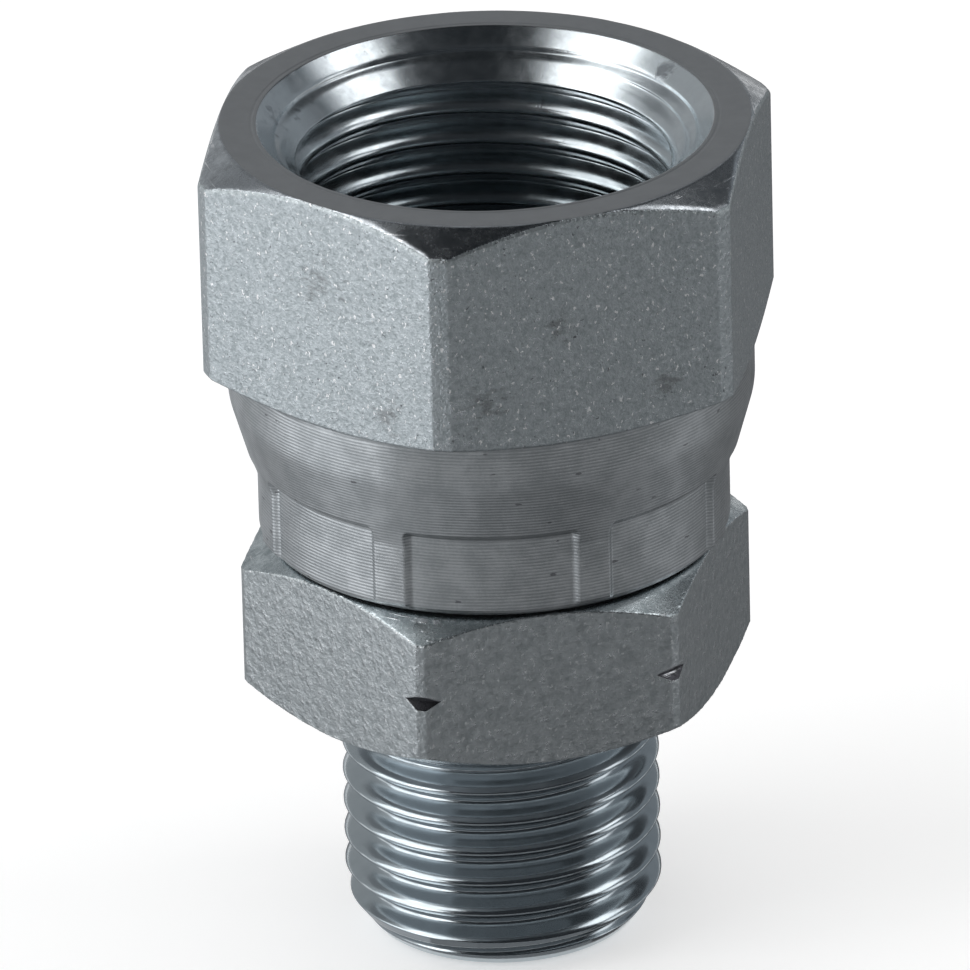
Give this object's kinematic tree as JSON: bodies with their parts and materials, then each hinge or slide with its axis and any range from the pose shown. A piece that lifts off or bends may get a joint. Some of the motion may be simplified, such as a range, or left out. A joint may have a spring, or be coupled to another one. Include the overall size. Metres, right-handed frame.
{
  "type": "swivel hose connector",
  "caption": "Straight hydraulic hose connector: a crimped swivel nut with an internal thread turns on a hexagon body with a threaded spigot.",
  "frame": {"origin": "centre of the spigot's end face, the lowest point of the part", "axes": "+Z along the common axis from the spigot end to the nut's mouth, flats of the body hexagon face +Y and -Y"},
  "size_m": [0.0254, 0.0238, 0.0367],
  "materials": {
    "zinc_body": "zinc plated, bright on the thread, fine grain on the flats",
    "zinc_nut": "zinc plated, turned rings on the skirt, fine grain on the flats"
  },
  "bodies": {
    "body": {"adapter_body": "zinc_body"},
    "nut": {"swivel_nut": "zinc_nut"}
  },
  "joints": [
    {"name": "nut_swivel", "type": "hinge", "parent": "body", "child": "nut", "pos_m": [0, 0, 0.0205], "axis": [0, 0, 1], "continuous": true}
  ]
}
